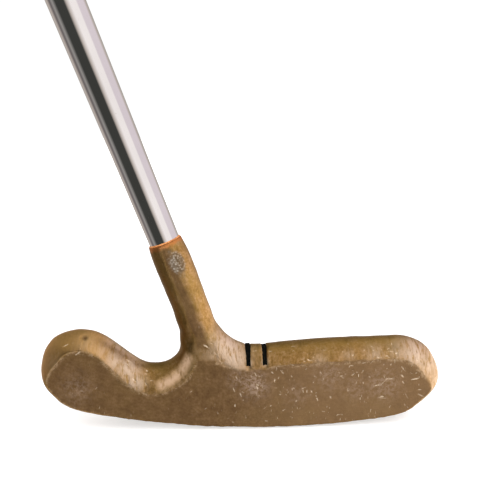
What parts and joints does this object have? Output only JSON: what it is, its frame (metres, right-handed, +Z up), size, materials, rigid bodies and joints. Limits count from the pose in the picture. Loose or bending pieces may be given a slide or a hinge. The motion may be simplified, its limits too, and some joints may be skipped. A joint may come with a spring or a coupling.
{
  "type": "blade putter",
  "caption": "Two-way brass blade putter: heel lobe, hosel rising from the blade, sight lines on the crown, stepped steel shaft and wrapped paddle grip.",
  "frame": {"origin": "where the shaft axis meets the ground plane under the sole, with the sole resting on Z = 0", "axes": "+X along the blade towards the toe, +Y from the front face to the back face, +Z up; the shaft leans towards -X at a 70 degree lie"},
  "size_m": [0.3801, 0.026, 0.8384],
  "materials": {
    "aged_brass": "hand-ground cast brass, aged brown, brighter on worn edges",
    "black_paint": "black paint filled into the sight lines",
    "epoxy": "aged orange-brown glue line",
    "chrome_steel": "polished chrome plate on stepped steel tube",
    "cork": "plain cork",
    "masking_tape": "paper grip tape",
    "grip_rubber": "moulded rubber form",
    "grip_leather": "dark brown wrapped calf leather, perforated",
    "binding_tape": "black binding tape",
    "black_plastic": "moulded black plastic",
    "plug_wood": "plain turned wood",
    "screw_steel": "zinc-plated slotted screw"
  },
  "bodies": {
    "root": {"head": "aged_brass", "sight_line_paint": "black_paint", "hosel_epoxy": "epoxy", "shaft": "chrome_steel", "tip_plug": "cork", "grip_tape": "masking_tape", "underlisting": "grip_rubber", "leather_wrap": "grip_leather", "finishing_tape": "binding_tape", "grip_collar": "black_plastic", "butt_plug": "plug_wood", "grip_cap": "black_plastic", "cap_screw": "screw_steel"}
  },
  "joints": []
}
